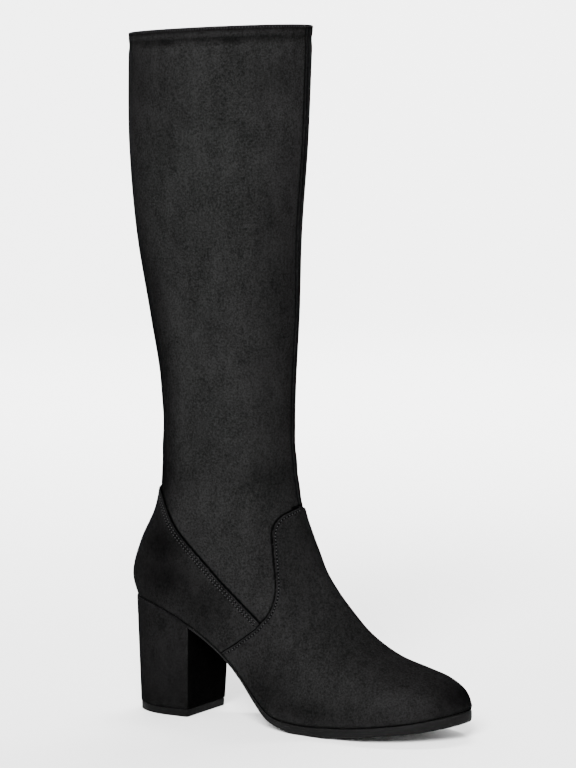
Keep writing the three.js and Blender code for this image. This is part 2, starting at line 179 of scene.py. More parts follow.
def collar_z(x):
    front_x, front_z, back_x, back_z = SECTIONS[0][:4]
    return back_z + (front_z - back_z) * (x - back_x) / (front_x - back_x)


# One more row past the toe turns the form over, so that the toe closes round.
past_toe = SECTIONS[-2][[2, 3, 0, 1, 4, 5]] * np.array([1, 1, 1, 1, -1, -1])
FORM_ROWS = np.vstack([SECTIONS, past_toe])
ROW_PLACES = np.concatenate([[0], np.cumsum(np.linalg.norm(np.diff(FORM_ROWS, axis=0), axis=1))])
TOE_PLACE = ROW_PLACES[len(SECTIONS) - 1]


def form_points(place, angle):
    """Points of the form. The angle is 0 at the front ridge and half a turn at the back, and it is
    negative on the outer side. The belly is where a section is widest, as a share from its back."""
    place, angle = np.broadcast_arrays(np.asarray(place, float), np.asarray(angle, float))
    row = curve_through(ROW_PLACES, FORM_ROWS, place)
    front_x, front_z, back_x, back_z, outer, inner = np.moveaxis(row, -1, 0)
    to_toe = np.clip((front_x - 130) / 110, 0, 1)
    up_shaft = np.clip((front_z - 160) / 100, 0, 1)
    down_foot = np.clip((135 - front_z) / 40, 0, 1)
    belly = 0.46 + 0.04 * up_shaft + 0.29 * to_toe**2
    c, w = np.cos(angle), np.sin(angle)
    power = np.where(c >= 0, 2 + 0.25 * np.sin(np.pi * to_toe), 2.1 + 0.2 * down_foot)
    reach = np.where(c >= 0, 1 - belly, belly)
    along = belly + np.sign(c) * reach * np.abs(c) ** (2 / power)
    half = np.where(w < 0, outer, inner)
    x = back_x + (front_x - back_x) * along
    y = TOE_TO_INNER_SIDE * to_toe + np.sign(w) * half * np.abs(w) ** (2 / power)
    return np.stack([x, y, back_z + (front_z - back_z) * along], -1)


def form_normals(place, angle, step=0.6, turn=0.03):
    last = TOE_PLACE - 0.2
    onward = form_points(np.minimum(place + step, last), angle)
    back = form_points(np.maximum(np.minimum(place, last) - step, 0), angle)
    place = np.minimum(place, last)
    across = form_points(place, angle + turn) - form_points(place, angle - turn)
    normal = np.cross(onward - back, across)
    return normal / np.maximum(np.linalg.norm(normal, axis=-1, keepdims=True), 1e-9)


# Steps of each search by halves.
HALVINGS = 40


def cut_angles(place):
    """Where each section meets the feather line, or half a turn where it stays above it."""
    def height_over(angle):
        p = form_points(place, angle)
        return p[..., 2] - feather_z(p[..., 0])
    high, low = np.full_like(place, np.pi / 2), np.full_like(place, np.pi)
    high = np.where(height_over(high) < 0, 0.0, high)
    for _ in range(HALVINGS):
        middle = (high + low) / 2
        above = height_over(middle) > 0
        high, low = np.where(above, middle, high), np.where(above, low, middle)
    return np.where(height_over(np.full_like(place, np.pi)) >= 0, np.pi, high)


# A turn of 0 is the front ridge, -1 the outer and +1 the inner end of a section, which is the back
# of the shaft or the feather line of the foot. These tables give the angle of each turn.
TABLE_PLACES = np.linspace(0, TOE_PLACE, 1500)
TABLE_TURNS = np.linspace(0, 1, 141)
TABLE_CUTS = cut_angles(TABLE_PLACES)


def angle_table(side):
    """The angle of each turn in each section, evenly stepped along the section."""
    fine = 0.5 - 0.5 * np.cos(np.linspace(0, np.pi, 181))
    angles = TABLE_CUTS[:, None] * fine
    points = form_points(TABLE_PLACES[:, None], side * angles)
    run = np.cumsum(np.linalg.norm(np.diff(points, axis=1), axis=2), axis=1)
    run = np.concatenate([np.zeros((len(run), 1)), run], axis=1)
    run = run / np.maximum(run[:, -1:], 1e-9)
    run[-1] = fine
    return np.array([np.interp(TABLE_TURNS, r, a) for r, a in zip(run, angles)])


ANGLES = {-1: angle_table(-1), 1: angle_table(1)}


def angle_of(place, turn):
    """The angle of a turn, read between the entries of its table."""
    place, turn = np.broadcast_arrays(np.asarray(place, float), np.asarray(turn, float))
    k = np.clip(place / TOE_PLACE, 0, 1) * (len(TABLE_PLACES) - 1)
    j = np.clip(np.abs(turn), 0, 1) * (len(TABLE_TURNS) - 1)
    k0 = np.minimum(k.astype(int), len(TABLE_PLACES) - 2)
    j0 = np.minimum(j.astype(int), len(TABLE_TURNS) - 2)
    down, across = k - k0, j - j0
    result = np.zeros(place.shape)
    for side, table in ANGLES.items():
        low = table[k0, j0] * (1 - across) + table[k0, j0 + 1] * across
        high = table[k0 + 1, j0] * (1 - across) + table[k0 + 1, j0 + 1] * across
        mine = (turn < 0) if side < 0 else (turn >= 0)
        result = np.where(mine, side * (low * (1 - down) + high * down), result)
    return result


def even_places(first, last, count):
    """Places whose sections lie about evenly apart where they move most."""
    dense = np.linspace(first, last, 2500)
    turns = np.linspace(-1, 1, 41)
    points = form_points(dense[:, None], angle_of(dense[:, None], turns[None, :]))
    moved = np.linalg.norm(np.diff(points, axis=0), axis=2).max(axis=1)
    run = np.concatenate([[0], np.cumsum(moved)])
    return np.interp(np.linspace(0, run[-1], count + 1), run, dense)


def seat(x, z):
    """Place and unsigned angle on the form of points that are given in the side view."""
    x, z = np.asarray(x, float), np.asarray(z, float)
    row = curve_through(ROW_PLACES, FORM_ROWS, TABLE_PLACES[:-2])
    fx, fz, bx, bz = row[:, 0], row[:, 1], row[:, 2], row[:, 3]
    side = (x[:, None] - bx) * (fz - bz) - (z[:, None] - bz) * (fx - bx)
    along = (x[:, None] - bx) * (fx - bx) + (z[:, None] - bz) * (fz - bz)
    along = along / ((fx - bx) ** 2 + (fz - bz) ** 2)
    inside = (along > -0.1) & (along < 1.1)
    change = (side[:, :-1] * side[:, 1:] <= 0) & inside[:, :-1]
    k = change.argmax(axis=1)
    n = np.arange(len(x))
    share = side[n, k] / (side[n, k] - side[n, k + 1])
    place = TABLE_PLACES[k] + share * (TABLE_PLACES[1] - TABLE_PLACES[0])
    low, high = np.zeros_like(x), np.full_like(x, np.pi)
    for _ in range(HALVINGS):
        middle = (low + high) / 2
        p = form_points(place, middle)
        r = curve_through(ROW_PLACES, FORM_ROWS, place)
        ahead = (p[:, 0] - x) * (r[:, 0] - r[:, 2]) + (p[:, 2] - z) * (r[:, 1] - r[:, 3]) > 0
        low, high = np.where(ahead, middle, low), np.where(ahead, high, middle)
    return place, (low + high) / 2


def smooth_line(points, count):
    """A Catmull-Rom curve through side view points, evenly stepped."""
    p = np.array(points, float)
    p = np.vstack([2 * p[0] - p[1], p, 2 * p[-1] - p[-2]])
    line = []
    for i in range(1, len(p) - 2):
        t = np.linspace(0, 1, 24, endpoint=False)[:, None]
        a, b, c, d = p[i - 1], p[i], p[i + 1], p[i + 2]
        square = (2 * a - 5 * b + 4 * c - d) * t**2
        cube = (3 * b - a - 3 * c + d) * t**3
        line.append(0.5 * (2 * b + (c - a) * t + square + cube))
    line = np.vstack(line + [p[-2:-1]])
    run = np.concatenate([[0], np.cumsum(np.linalg.norm(np.diff(line, axis=0), axis=1))])
    at = np.linspace(0, run[-1], count)
    return np.stack([np.interp(at, run, line[:, 0]), np.interp(at, run, line[:, 1])], -1)


def side_distance(points, line):
    """Signed distance from a side view line: positive to the left of its direction. Where two
    stretches of the line are equally near, at their shared point, both say which side it is."""
    x, z = points[..., 0].ravel(), points[..., 2].ravel()
    best = np.full(len(x), np.inf)
    lean = np.zeros(len(x))
    tie = 1e-7
    for (ax, az), (dx, dz) in zip(line[:-1], np.diff(line, axis=0)):
        t = np.clip(((x - ax) * dx + (z - az) * dz) / (dx * dx + dz * dz), 0, 1)
        ex, ez = x - ax - t * dx, z - az - t * dz
        r = np.hypot(ex, ez)
        left = (dx * ez - dz * ex) / math.hypot(dx, dz)
        lean = np.where(r < best - tie, left, np.where(r < best + tie, lean + left, lean))
        best = np.minimum(best, r)
    return (best * np.where(lean < 0, -1, 1)).reshape(points.shape[:-1])


# The side seam runs on to a point below the feather line. The counter stops a gap short of it, and
# the counter's two edges are lengthened past the corner where they meet.
SEAM_LINE = smooth_line(SIDE_SEAM + [(54, 30)], 40)
VAMP_LINE = np.vstack([smooth_line(VAMP_EDGE, 90), SEAM_LINE[1:]])
COUNTER_SEAM = np.vstack([[(112, 73)], SEAM_LINE + np.array([-0.18, 0.24])])
COUNTER_TOP = smooth_line(COUNTER_EDGE, 90)
COUNTER_TOP_ON = np.vstack([COUNTER_TOP, [(112, 59)]])


def vamp_inset(points):
    """Distance of a point inside the vamp's edge."""
    return side_distance(points, VAMP_LINE)


def counter_top_inset(points):
    """Distance of a point inside the counter's upper edge."""
    return -side_distance(points, COUNTER_TOP_ON)


def counter_inset(points):
    """Distance of a point inside the counter's edge, and across the seam to the vamp."""
    return np.minimum(counter_top_inset(points), -side_distance(points, COUNTER_SEAM))


def panels_inset(points):
    """Distance inside the edge of either panel, negative on the open suede."""
    return np.maximum(vamp_inset(points), counter_inset(points))


# Soft creases of the suede, placed in the side view.
# Columns: x, z, tilt in degrees, half length, half width, depth in mm, side (0 is both).
CREASES = [
    (26, 163, -24, 20, 7, 0.45, 0),
    (60, 152, 8, 26, 8, 0.35, -1),
    (111, 157, 30, 14, 6, 0.6, 0),
    (108, 176, 20, 18, 8, 0.35, 0),
    (40, 190, -10, 26, 10, 0.35, 0),
    (96, 438, 3, 22, 4, 0.5, -1),
    (60, 330, 80, 70, 16, 0.4, -1),
    (86, 250, 84, 60, 12, 0.35, -1),
]
# Troughs and swells of the foot, with the same columns.
FOOT_CREASES = [
    (30, 118, -30, 24, 9, 0.25, 0),
    (18, 96, 10, 20, 9, 0.2, 0),
    (136, 84, -62, 24, 9, 0.3, 0),
    (168, 52, -60, 22, 9, 0.35, 0),
    (150, 34, -75, 18, 8, 0.2, -1),
]


def troughs(points, table):
    """Depth of the creases: each a soft trough with a low swell beside it."""
    depth = np.zeros(points.shape[:-1])
    for x, z, tilt, length, width, deep, side in table:
        c, s = math.cos(math.radians(tilt)), math.sin(math.radians(tilt))
        along = (points[..., 0] - x) * c + (points[..., 2] - z) * s
        across = (points[..., 2] - z) * c - (points[..., 0] - x) * s
        share = bell(along, length) * (bell(across, width) - 0.45 * bell(across - 1.7 * width, width))
        if side:
            share = share * smoothstep(points[..., 1] * side, -6, 12)
        depth += deep * share
    return depth


def foot_share(points, angle):
    """0 up the shaft and 1 in the foot, where the upper lies a panel's thickness further in."""
    edge = 145.8 - 3.8 * np.cos(angle)
    ease = 16
    return smoothstep(edge + ease - points[..., 2], 0, ease)


def below_collar(points):
    return collar_z(points[..., 0]) - points[..., 2]


def rim_round(distance, radius):
    """How far a rounded edge falls below the surface at a distance from the edge."""
    d = np.clip(radius - distance, 0, radius)
    return radius - np.sqrt(np.maximum(radius**2 - d**2, 0))


# The front strip lies between a seam on the ridge and one beside it, on the inner side.
STRIP_WIDTH = 3.4


def upper_depth(points, angle):
    """How far the suede lies inside the form, with its seams, hem and creases."""
    below = below_collar(points)
    y = points[..., 1]
    front = np.cos(angle) > 0
    hem = 0.6 * bell(below - 8.5, 3.2) + 0.16 * bell(below - 1.9, 0.7)
    seam = 0.62 * bell(y, 0.75) + 0.34 * bell(y - STRIP_WIDTH, 0.6)
    strip = -0.22 * bell(y - STRIP_WIDTH / 2, 1.1)
    back_seam = 0.45 * bell(y, 0.8)
    soft = troughs(points, CREASES) * smoothstep(below, 2, 16)
    pressed = 0.45 * bell(panels_inset(points) + 0.2, 0.7)
    return (OVERLAY_STEP * foot_share(points, angle) + hem + rim_round(below, 0.9)
            + np.where(front, seam + strip, back_seam) + soft + pressed)


def lining_depth(points, angle):
    """How far the lining lies inside the form, with the thicker turned hem at the collar."""
    below = below_collar(points)
    foot = foot_share(points, angle)
    wall = SHAFT_WALL + (FOOT_WALL - SHAFT_WALL) * foot
    hem = (HEM_WALL - SHAFT_WALL) * smoothstep(HEM_DEPTH + 1 - below, 0, 1)
    soft = troughs(points, CREASES) * smoothstep(below, 2, 16)
    return OVERLAY_STEP * foot + wall + hem - rim_round(below, 0.8) + soft


def overlay_depth(points, inset, sewn, stitch_rows):
    """How far a panel lies inside the form, with its rounded edge and a dip along each row of thread."""
    depth = rim_round(inset, 0.35) + troughs(points, FOOT_CREASES)
    for row in stitch_rows:
        depth += 0.22 * bell(sewn - row, 0.55)
    return depth


def world(points):
    """Metres in the shared frame."""
    return (np.asarray(points) - np.array([SHIFT, 0, 0])) / 1000


def crowded(x, amount):
    """Moves columns closer together at the front ridge and at the back."""
    t = np.abs(x)
    return np.sign(x) * (t - amount * np.sin(2 * np.pi * t) / (2 * np.pi))


def flat_sheet(columns, places, crowding):
    """A grid in the form's own plane, with the turn as x and the place as y."""
    bm = bmesh.new()
    bmesh.ops.create_grid(bm, x_segments=columns, y_segments=len(places) - 1, size=1)
    for v in bm.verts:
        row = round((v.co.y + 1) / 2 * (len(places) - 1))
        v.co = (float(crowded(v.co.x, crowding)), places[row], 0)
    return bm


def flat_points(bm):
    """The turns and places of a flat sheet, and where they lie on the form."""
    flat = np.array([v.co[:2] for v in bm.verts])
    return flat, form_points(flat[:, 1], angle_of(flat[:, 1], flat[:, 0]))


# A corner within this share of an edge is moved on to the line, and the edge isn't split.
SNAP_SHARE = 0.16


def split_line(bm, inset, level):
    """Splits every edge that the line crosses, then joins the new points across the faces."""
    bm.verts.index_update()
    value = list(inset(flat_points(bm)[1]) - level)
    on_line = set()
    crossing = [e for e in bm.edges if value[e.verts[0].index] * value[e.verts[1].index] < 0]
    for e in crossing:
        a, b = e.verts
        fa, fb = value[a.index], value[b.index]
        if fa * fb < 0:
            t = fa / (fa - fb)
            near = a if t < SNAP_SHARE else b if t > 1 - SNAP_SHARE else None
            if near is not None:
                near.co = a.co.lerp(b.co, t)
                value[near.index] = 0
                on_line.add(near)
    for e in crossing:
        a, b = e.verts
        fa, fb = value[a.index], value[b.index]
        if fa * fb < 0:
            on_line.add(bmesh.utils.edge_split(e, a, fa / (fa - fb))[1])
    bmesh.ops.connect_verts(bm, verts=list(on_line))


def cut_away(bm, inset):
    """Takes off the faces that lie outside the line."""
    bm.verts.index_update()
    value = inset(flat_points(bm)[1])
    outside = [f for f in bm.faces if sum(value[v.index] for v in f.verts) < 0]
    bmesh.ops.delete(bm, geom=outside, context="FACES")
    bmesh.ops.delete(bm, geom=[v for v in bm.verts if not v.link_faces], context="VERTS")


def walled(bm, outer_depth, inner_depth, shade):
    """Bends the flat sheet round the form and gives it its wall. The inner faces get material 1, and the
    outer ones carry the painted shade.
    """
    turn = bm.verts.layers.float.new("turn")
    place = bm.verts.layers.float.new("place")
    flat, points = flat_points(bm)
    for v, (v_turn, v_place), at in zip(bm.verts, flat, world(points)):
        v[turn], v[place] = v_turn, v_place
        v.co = at
    bmesh.ops.remove_doubles(bm, verts=bm.verts, dist=2e-6)
    bmesh.ops.dissolve_degenerate(bm, edges=bm.edges, dist=1e-7)
    bmesh.ops.recalc_face_normals(bm, faces=bm.faces)
    first = set(bm.verts)
    bmesh.ops.solidify(bm, geom=bm.faces[:], thickness=0.001)
    flat = np.array([(v[turn], v[place]) for v in bm.verts])
    angle = angle_of(flat[:, 1], flat[:, 0])
    points = form_points(flat[:, 1], angle)
    normals = form_normals(flat[:, 1], angle)
    inner = np.array([v in first for v in bm.verts])
    depth = np.where(inner, inner_depth(points, angle), outer_depth(points, angle))
    # The painted shade darkens the outer faces' colour; the inner faces get none.
    shade_layer = bm.verts.layers.float.new("shade")
    dark = np.where(inner, 0, shade(points, angle))
    for v, at, v_dark in zip(bm.verts, world(points - normals * depth[:, None]), dark):
        v.co = at
        v[shade_layer] = v_dark
    for f in bm.faces:
        f.material_index = 1 if all(v in first for v in f.verts) else 0
    if bm.calc_volume(signed=True) < 0:
        bmesh.ops.reverse_faces(bm, faces=bm.faces)
    return bm


def finished(name, bm, materials, nodes):
    """The bmesh as a smooth object that rides on the boot and stands for its CAD nodes."""
    mesh = bpy.data.meshes.new(name)
    bm.to_mesh(mesh)
    bm.free()
    for material in materials:
        mesh.materials.append(material)
    piece = bpy.data.objects.new(name, mesh)
    bpy.context.scene.collection.objects.link(piece)
    mesh.shade_smooth()
    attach(piece, "root")
    if nodes:
        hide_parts(*nodes)


# Materials.
def colour(code):
    """A linear colour from an sRGB hex value."""
    parts = [int(code[i:i + 2], 16) / 255 for i in (1, 3, 5)]
    return tuple(p / 12.92 if p <= 0.04045 else ((p + 0.055) / 1.055) ** 2.4 for p in parts) + (1.0,)


def add(tree, kind, links=None, **settings):
    """One node with its settings. A link is a value or another node's output."""
    made = tree.nodes.new(kind)
    for key, value in settings.items():
        setattr(made, key, value)
    for key, value in (links or {}).items():
        if isinstance(value, bpy.types.NodeSocket):
            tree.links.new(value, made.inputs[key])
        else:
            made.inputs[key].default_value = value
    return made


def new_material(name, **constants):
    material = bpy.data.materials.new(name)
    material.use_nodes = True
    tree = material.node_tree
    shader = tree.nodes["Principled BSDF"]
    for key, value in constants.items():
        shader.inputs[key.replace("_", " ")].default_value = value
    return material, tree, shader


def per_metre(millimetres):
    """Noise scale for a pattern whose grain has that size."""
    return 1000 / millimetres


def noise(tree, at, millimetres, detail, roughness=0.5):
    """Cloudy noise whose grain has that size."""
    settings = {"Vector": at, "Scale": per_metre(millimetres), "Detail": detail, "Roughness": roughness}
    return add(tree, "ShaderNodeTexNoise", settings).outputs["Fac"]


def between(tree, share, dark, light):
    """A colour between two hex values."""
    mix = add(tree, "ShaderNodeMix", {"Factor": share}, data_type="RGBA")
    mix.inputs[6].default_value = colour(dark)
    mix.inputs[7].default_value = colour(light)
    return mix.outputs[2]


def bumped(tree, shader, height, strength, distance):
    bump = add(tree, "ShaderNodeBump", {"Height": height, "Strength": strength, "Distance": distance})
    tree.links.new(bump.outputs["Normal"], shader.inputs["Normal"])


def brushed_suede(name, dark, light, patch=9.0):
    """Brushed polyester faux suede: a matt black whose short nap lies in lighter and darker
    patches, drawn out along the boot, with a fine grain that is drawn at 1.3 mm so that it shows.
    The painted shade that each mesh carries darkens the nap in seams, at edges, in hollows, in patches
    and where the form turns away."""
    material, tree, shader = new_material(name, Roughness=1.0, Specular_IOR_Level=0.0)
    at = add(tree, "ShaderNodeTexCoord").outputs["Object"]
    drawn = add(tree, "ShaderNodeVectorMath", {0: at, 1: (1.0, 1.0, 0.4)}, operation="MULTIPLY")
    grain = noise(tree, at, 1.3, 3.0, 0.8)
    level = -1.67
    for pattern, strength in ((noise(tree, drawn.outputs["Vector"], patch, 5.0, 0.6), 0.8),
                              (noise(tree, at, 38, 2.0), 0.5), (grain, 3.1)):
        level = add(tree, "ShaderNodeMath", {0: pattern, 1: strength, 2: level},
                    operation="MULTIPLY_ADD", use_clamp=pattern == grain).outputs[0]
    blended = between(tree, level, dark, light)
    # Painted shade: each mesh's attribute scales the colour down to as little as 4 percent.
    shade = add(tree, "ShaderNodeAttribute", attribute_name="shade").outputs["Fac"]
    keep = add(tree, "ShaderNodeMapRange", {"Value": shade, "From Min": 0.0, "From Max": 1.0,
                                            "To Min": 1.0, "To Max": 0.04})
    toned = add(tree, "ShaderNodeVectorMath", {0: blended}, operation="SCALE")
    tree.links.new(keep.outputs["Result"], toned.inputs["Scale"])
    tree.links.new(toned.outputs["Vector"], shader.inputs["Base Color"])
    bumped(tree, shader, grain, 0.5, 0.00025)
    return material


def moulded_rubber(name, dark, light, roughness):
    """Moulded thermoplastic rubber: a nearly matt black with faint rubbed patches and a fine pebble."""
    material, tree, shader = new_material(name, Specular_IOR_Level=0.05)
    at = add(tree, "ShaderNodeTexCoord").outputs["Object"]
    rubbed = noise(tree, at, 14, 4.0)
    tree.links.new(between(tree, rubbed, dark, light), shader.inputs["Base Color"])
    matt = add(tree, "ShaderNodeMapRange", {"Value": rubbed, "From Min": 0.3, "From Max": 0.7,
                                            "To Min": roughness - 0.06, "To Max": roughness + 0.08})
    tree.links.new(matt.outputs["Result"], shader.inputs["Roughness"])
    bumped(tree, shader, noise(tree, at, 0.8, 2.0), 0.25, 0.0001)
    return material


def knitted_lining(name, dark, light):
    """Warp-knit polyester lining: a plain soft black with rows of loops 1.2 mm apart."""
    material, tree, shader = new_material(name, Roughness=0.9, Specular_IOR_Level=0.2, Sheen_Weight=0.02)
    at = add(tree, "ShaderNodeTexCoord").outputs["Object"]
    rows = {"Vector": at, "Scale": per_metre(1.2) / 6.28, "Distortion": 1.5, "Detail": 2.0}
    loops = add(tree, "ShaderNodeTexWave", rows, bands_direction="Z").outputs["Fac"]
    fuzz = noise(tree, at, 5, 4.0)
    tree.links.new(between(tree, fuzz, dark, light), shader.inputs["Base Color"])
    bumped(tree, shader, loops, 0.3, 0.00015)
    return material


def sewing_thread(name, dark, light):
    """Twisted polyester sewing thread: black, coloured a little lighter than the nap round it as a
    painted highlight.
    """
    material, tree, shader = new_material(name, Roughness=0.7, Specular_IOR_Level=0.15)
    at = add(tree, "ShaderNodeTexCoord").outputs["Object"]
    tree.links.new(between(tree, noise(tree, at, 0.5, 1.0), dark, light), shader.inputs["Base Color"])
    return material


SHAFT_SUEDE = brushed_suede("brushed_faux_suede_shaft", "#060606", "#181818")
PANEL_SUEDE = brushed_suede("brushed_faux_suede_panel", "#060606", "#171717", patch=7.0)
# The heel cover's suede is darker than the shaft's, as painted shade.
COVER_SUEDE = brushed_suede("brushed_faux_suede_heel_cover", "#050505", "#121212", patch=6.0)
LINING = knitted_lining("warp_knit_lining", "#0c0c0d", "#141415")
RAW_EDGE = brushed_suede("cut_suede_wrong_side", "#0c0b0c", "#151415")
SOLE_RUBBER = moulded_rubber("moulded_sole_rubber", "#050505", "#080808", 0.65)
LIFT_RUBBER = moulded_rubber("hard_top_piece_rubber", "#030303", "#040404", 0.8)
SOCK = knitted_lining("sock_cloth_on_board", "#0e0e0f", "#161617")
# The thread's colour, lighter than the nap, is a painted highlight.
THREAD = sewing_thread("twisted_polyester_thread", "#121212", "#1f1f20")
# Painted shade: black beads stand for the shadow inside the needle holes.
NEEDLE_HOLE_SHADE = new_material("painted_needle_hole_shade", Roughness=1.0, Specular_IOR_Level=0.0,
                           Base_Color=colour("#010101"))[0]


# Upper.
# Painted shade in soft patches. Columns: x, z, half width in x, half height in z, amount, side (0 is
# both).
SHAFT_SHADE_PATCHES = [
    (28, 158, 26, 10, 0.35, -1),
    (106, 158, 16, 12, 0.35, -1),
    (112, 290, 10, 60, 0.12, -1),
    (110, 412, 12, 12, 0.22, -1),
    (24, 412, 22, 26, 0.2, -1),
    (44, 384, 12, 26, 0.14, -1),
]
FOOT_SHADE_PATCHES = [
    (36, 112, 22, 20, 0.80, -1),
    (38, 92, 28, 20, 0.74, -1),
    (64, 76, 24, 18, 0.54, -1),
    (124, 124, 12, 14, 0.22, -1),
    (140, 16, 50, 8, 0.45, -1),
    (236, 28, 12, 15, 0.64, 0),
    (112, 24, 22, 14, 0.50, -1),
]


# Painted shade: the deepest of a table's soft patches at each point.
def patch_shade(points, table):
    dark = np.zeros(points.shape[:-1])
    for x, z, wide, high, amount, side in table:
        share = np.exp(-(((points[..., 0] - x) / wide) ** 2) - ((points[..., 2] - z) / high) ** 2)
        if side:
            share = share * smoothstep(points[..., 1] * side, -8, 8)
        dark = np.maximum(dark, amount * share)
    return dark


def turned_away_shade(points, angle):
    """Painted shade where the form turns to its front and its back, more so lower down."""
    side = np.cos(angle)
    low = smoothstep(410 - points[..., 2], 0, 180)
    turned = np.where(side > 0, smoothstep(side, 0.45, 0.95), smoothstep(-side, 0.3, 0.85))
    return np.where(side > 0, 0.34 * low, 0.06 + 0.68 * low) * turned


def upper_shade(points, angle):
    """Painted shade on the suede: in its seams and on the front strip, along the waving press of its hem,
    under the hem's thread, beside the panels' edges, in patches and where the form turns away."""
    y = points[..., 1]
    # Painted shade in the seams and on the front strip.
    seams = bell(y, 0.8) + 0.85 * bell(y - STRIP_WIDTH, 0.55)
    front = seams + 0.3 * smoothstep(y, 0.4, 1.2) * (y < 6)
    seam = np.where(np.cos(angle) > 0, front, 0.6 * bell(y, 0.7))
    below = below_collar(points)
    wave = 0.5 + 0.5 * np.sin(points[..., 0] * 0.21 + 1.1) * np.sin(points[..., 0] * 0.083)
    # Painted shade in the hollow under the hem and under its thread.
    hem = (0.45 + 0.45 * wave) * bell(below - 7.5 - 1.2 * wave, 2.4)
    under_thread = 0.8 * bell(below - 2.4, 0.6)
    # Painted shadow on the suede beside the panels' edges.
    contact = 0.95 * smoothstep(panels_inset(points), -1.6, -0.5)
    # Painted shade in patches and where the form turns away.
    blended = 1 - (1 - patch_shade(points, SHAFT_SHADE_PATCHES)) * (1 - turned_away_shade(points, angle))
    return np.clip(np.maximum.reduce([seam, hem, under_thread, contact, blended]), 0, 1)


def make_upper():
    """The hollow suede shell, with closer rows at its rim and lines in its mesh beside the panels."""
    rim_places = [0.35, 0.75, 1.3, 2.0, 2.9, 4.0]
    sheet = flat_sheet(136, np.unique(np.concatenate([even_places(0, TOE_PLACE, 270), rim_places])), 0.84)
    for level in (-1.4, -0.7, -0.1):
        split_line(sheet, panels_inset, level)
    finished("upper_suede", walled(sheet, upper_depth, lining_depth, upper_shade),
             [SHAFT_SUEDE, LINING], ["upper"])


make_upper()


# Vamp and counter.
# How far each row of stitches lies inside its panel's edge.
VAMP_STITCHES = [1.8]
COUNTER_STITCHES = [1.7, 3.6]


def foot_shade(inset, sewn, rows):
    """Painted shade on a panel: under its thread, above the sole, in patches and where it turns away; the
    panel is also darker along its edge.
    """
    def shade(points, angle):
        # Painted shade where the panel meets the sole.
        near_sole = 0.75 * bell(points[..., 2] - feather_z(points[..., 0]), 1.3)
        dark = 0.6 * bell(inset(points), 0.3)
        # Painted shade in the dips of the thread rows.
        for row in rows:
            dark = np.maximum(dark, 0.3 * bell(sewn(points) - row, 0.6))
        turned = np.where(np.cos(angle) > 0, 0.9, 0.3) * turned_away_shade(points, angle)
        # Painted shade in patches and where the form turns away.
        blended = 1 - (1 - patch_shade(points, FOOT_SHADE_PATCHES)) * (1 - turned) * (1 - near_sole)
        return np.maximum(dark, blended)
    return shade


def overlay(name, inset, sewn, rows, first, last, row_count, columns, node):
    """One panel, with lines in its mesh along its rounded edge and its rows of stitches."""
    sheet = flat_sheet(columns, even_places(first, last, row_count), 0.35)
    for level in (0, 0.12, 0.35):
        split_line(sheet, inset, level)
    for row in rows:
        for beside in (-0.6, 0, 0.6):
            split_line(sheet, sewn, row + beside)
    cut_away(sheet, inset)
    outer = lambda points, angle: overlay_depth(points, inset(points), sewn(points), rows)
    inner = lambda points, angle: OVERLAY_WALL + troughs(points, FOOT_CREASES)
    finished(name, walled(sheet, outer, inner, foot_shade(inset, sewn, rows)),
             [PANEL_SUEDE, RAW_EDGE], [node])


def place_at(x, z):
    return float(seat(np.array([x]), np.array([z]))[0][0])


overlay("vamp_suede", vamp_inset, vamp_inset, VAMP_STITCHES,
        place_at(120, 143), TOE_PLACE, 190, 104, "vamp")
overlay("counter_suede", counter_inset, counter_top_inset, COUNTER_STITCHES,
        place_at(19, 152), place_at(112, 62), 120, 120, "counter")


# Stitches.
def stitch_run(place, angle, lift, pitch, length, width, hole):
    """Short stitches along a line on the form, with a black bead of painted shade for the needle hole
    between each two.
    """
    bm = bmesh.new()
    normals = form_normals(place, angle)
    points = form_points(place, angle) + normals * lift
    run = np.concatenate([[0], np.cumsum(np.linalg.norm(np.diff(points, axis=0), axis=1))])
    at = lambda values, s: Vector([np.interp(s, run, values[:, k]) for k in range(3)])

    def directions(s, reach=0.4):
        forward = (at(points, s + reach) - at(points, s - reach)).normalized()
        up = at(normals, s).normalized()
        return forward, up.cross(forward).normalized(), up

    for s in np.arange(pitch / 2, run[-1] - pitch / 3, pitch):
        forward, across, up = directions(s)
        for v in bmesh.ops.create_uvsphere(bm, u_segments=6, v_segments=5, radius=0.5)["verts"]:
            x, y, z = v.co
            middle = at(points, s) + forward * (z * length) + across * (x * width)
            v.co = world(middle + up * (y * width * 0.8))
    threads = len(bm.faces)
    # Black beads of painted shade in the needle holes.
    for s in np.arange(pitch, run[-1] - pitch / 2, pitch):
        forward, across, up = directions(s)
        for v in bmesh.ops.create_uvsphere(bm, u_segments=8, v_segments=4, radius=0.5)["verts"]:
            x, y, z = v.co
            v.co = world(at(points, s) + forward * (y * hole) - across * (x * hole) + up * (z * 0.3))
    bm.faces.ensure_lookup_table()
    for f in bm.faces[threads:]:
        f.material_index = 1
    return bm


def offset_line(line, distance):
    """A side view line moved to its left."""
    d = np.gradient(line, axis=0)
    d /= np.linalg.norm(d, axis=1, keepdims=True)
    return line + distance * np.stack([-d[:, 1], d[:, 0]], -1)


def finely(line, count=2600):
    t = np.arange(len(line))
    at = np.linspace(0, len(line) - 1, count)
    return np.stack([np.interp(at, t, line[:, 0]), np.interp(at, t, line[:, 1])], -1)


# Columns: lift over the form, pitch, length of a stitch, its width and the needle hole's width.
VAMP_SEWING = (-0.04, 2.2, 1.1, 0.55, 1.2)
COUNTER_SEWING = (-0.06, 2.3, 1.2, 0.5, 1.1)
COLLAR_SEWING = (-0.1, 1.9, 0.9, 0.5, 1.1)
COLLAR_STITCHES = 1.7


